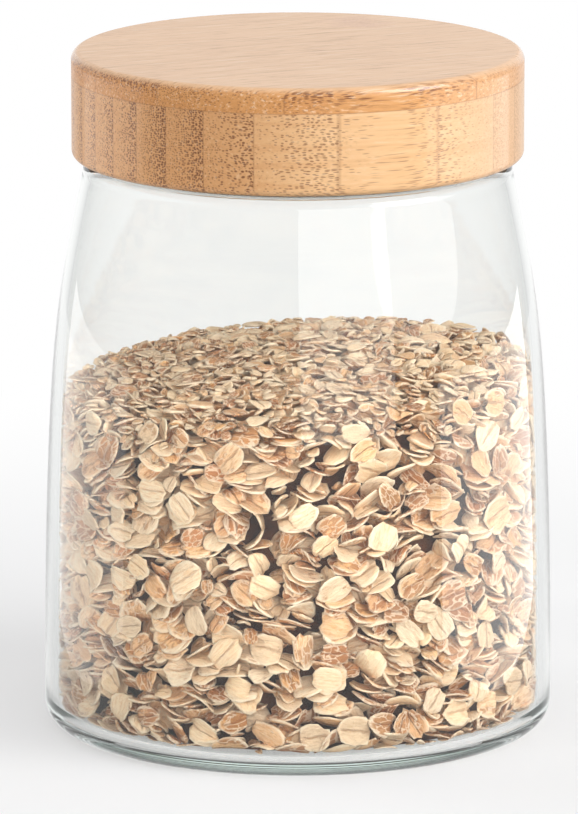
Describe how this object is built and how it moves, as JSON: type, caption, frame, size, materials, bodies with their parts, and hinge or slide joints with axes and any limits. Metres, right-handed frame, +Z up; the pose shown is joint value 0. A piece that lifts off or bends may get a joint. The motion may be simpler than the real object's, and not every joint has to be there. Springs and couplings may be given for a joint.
{
  "type": "food canister",
  "caption": "Round glass storage jar with a thick laminated bamboo screw lid, half full of rolled oats; the lid unscrews and rises clear of the neck.",
  "frame": {"origin": "middle of the jar's foot, at the height it stands on", "axes": "+Z up along the jar's axis of turning, X along the grain of the lid's strips"},
  "size_m": [0.1246, 0.1246, 0.1668],
  "materials": {
    "jar_glass": "gloss",
    "rolled_oats": "matte",
    "bamboo_top": "satin",
    "bamboo_edge": "satin",
    "liner_plastic": "satin",
    "seal_silicone": "matte"
  },
  "bodies": {
    "jar": {"glass_jar": "jar_glass", "oat_fill": "rolled_oats"},
    "seal": {"seal_ring": "seal_silicone"},
    "lid": {"threaded_liner": "liner_plastic", "top_strip_1": "bamboo_top", "top_strip_2": "bamboo_top", "top_strip_3": "bamboo_top", "top_strip_4": "bamboo_top", "top_strip_5": "bamboo_top", "top_strip_6": "bamboo_top", "edge_strip_01": "bamboo_edge", "edge_strip_02": "bamboo_edge", "edge_strip_03_left": "bamboo_edge", "edge_strip_03_right": "bamboo_edge", "edge_strip_04_left": "bamboo_edge", "edge_strip_04_right": "bamboo_edge", "edge_strip_05_left": "bamboo_edge", "edge_strip_05_right": "bamboo_edge", "edge_strip_06_left": "bamboo_edge", "edge_strip_06_right": "bamboo_edge", "edge_strip_07_left": "bamboo_edge", "edge_strip_07_right": "bamboo_edge", "edge_strip_08_left": "bamboo_edge", "edge_strip_08_right": "bamboo_edge", "edge_strip_09_left": "bamboo_edge", "edge_strip_09_right": "bamboo_edge", "edge_strip_10_left": "bamboo_edge", "edge_strip_10_right": "bamboo_edge", "edge_strip_11_left": "bamboo_edge", "edge_strip_11_right": "bamboo_edge", "edge_strip_12_left": "bamboo_edge", "edge_strip_12_right": "bamboo_edge", "edge_strip_13_left": "bamboo_edge", "edge_strip_13_right": "bamboo_edge", "edge_strip_14": "bamboo_edge", "edge_strip_15": "bamboo_edge"}
  },
  "joints": [
    {"name": "lid_rise", "type": "slide", "parent": "jar", "child": "seal", "axis": [0, 0, 1], "range_m": [0, 0.024]},
    {"name": "lid_turn", "type": "hinge", "parent": "seal", "child": "lid", "pos_m": [0, 0, 0.15], "axis": [0, 0, 1], "range_deg": [0, 1440]}
  ],
  "couplings": [
    {"joint": "lid_rise", "follows": "lid_turn", "m_per_rad": 0.00095493}
  ]
}
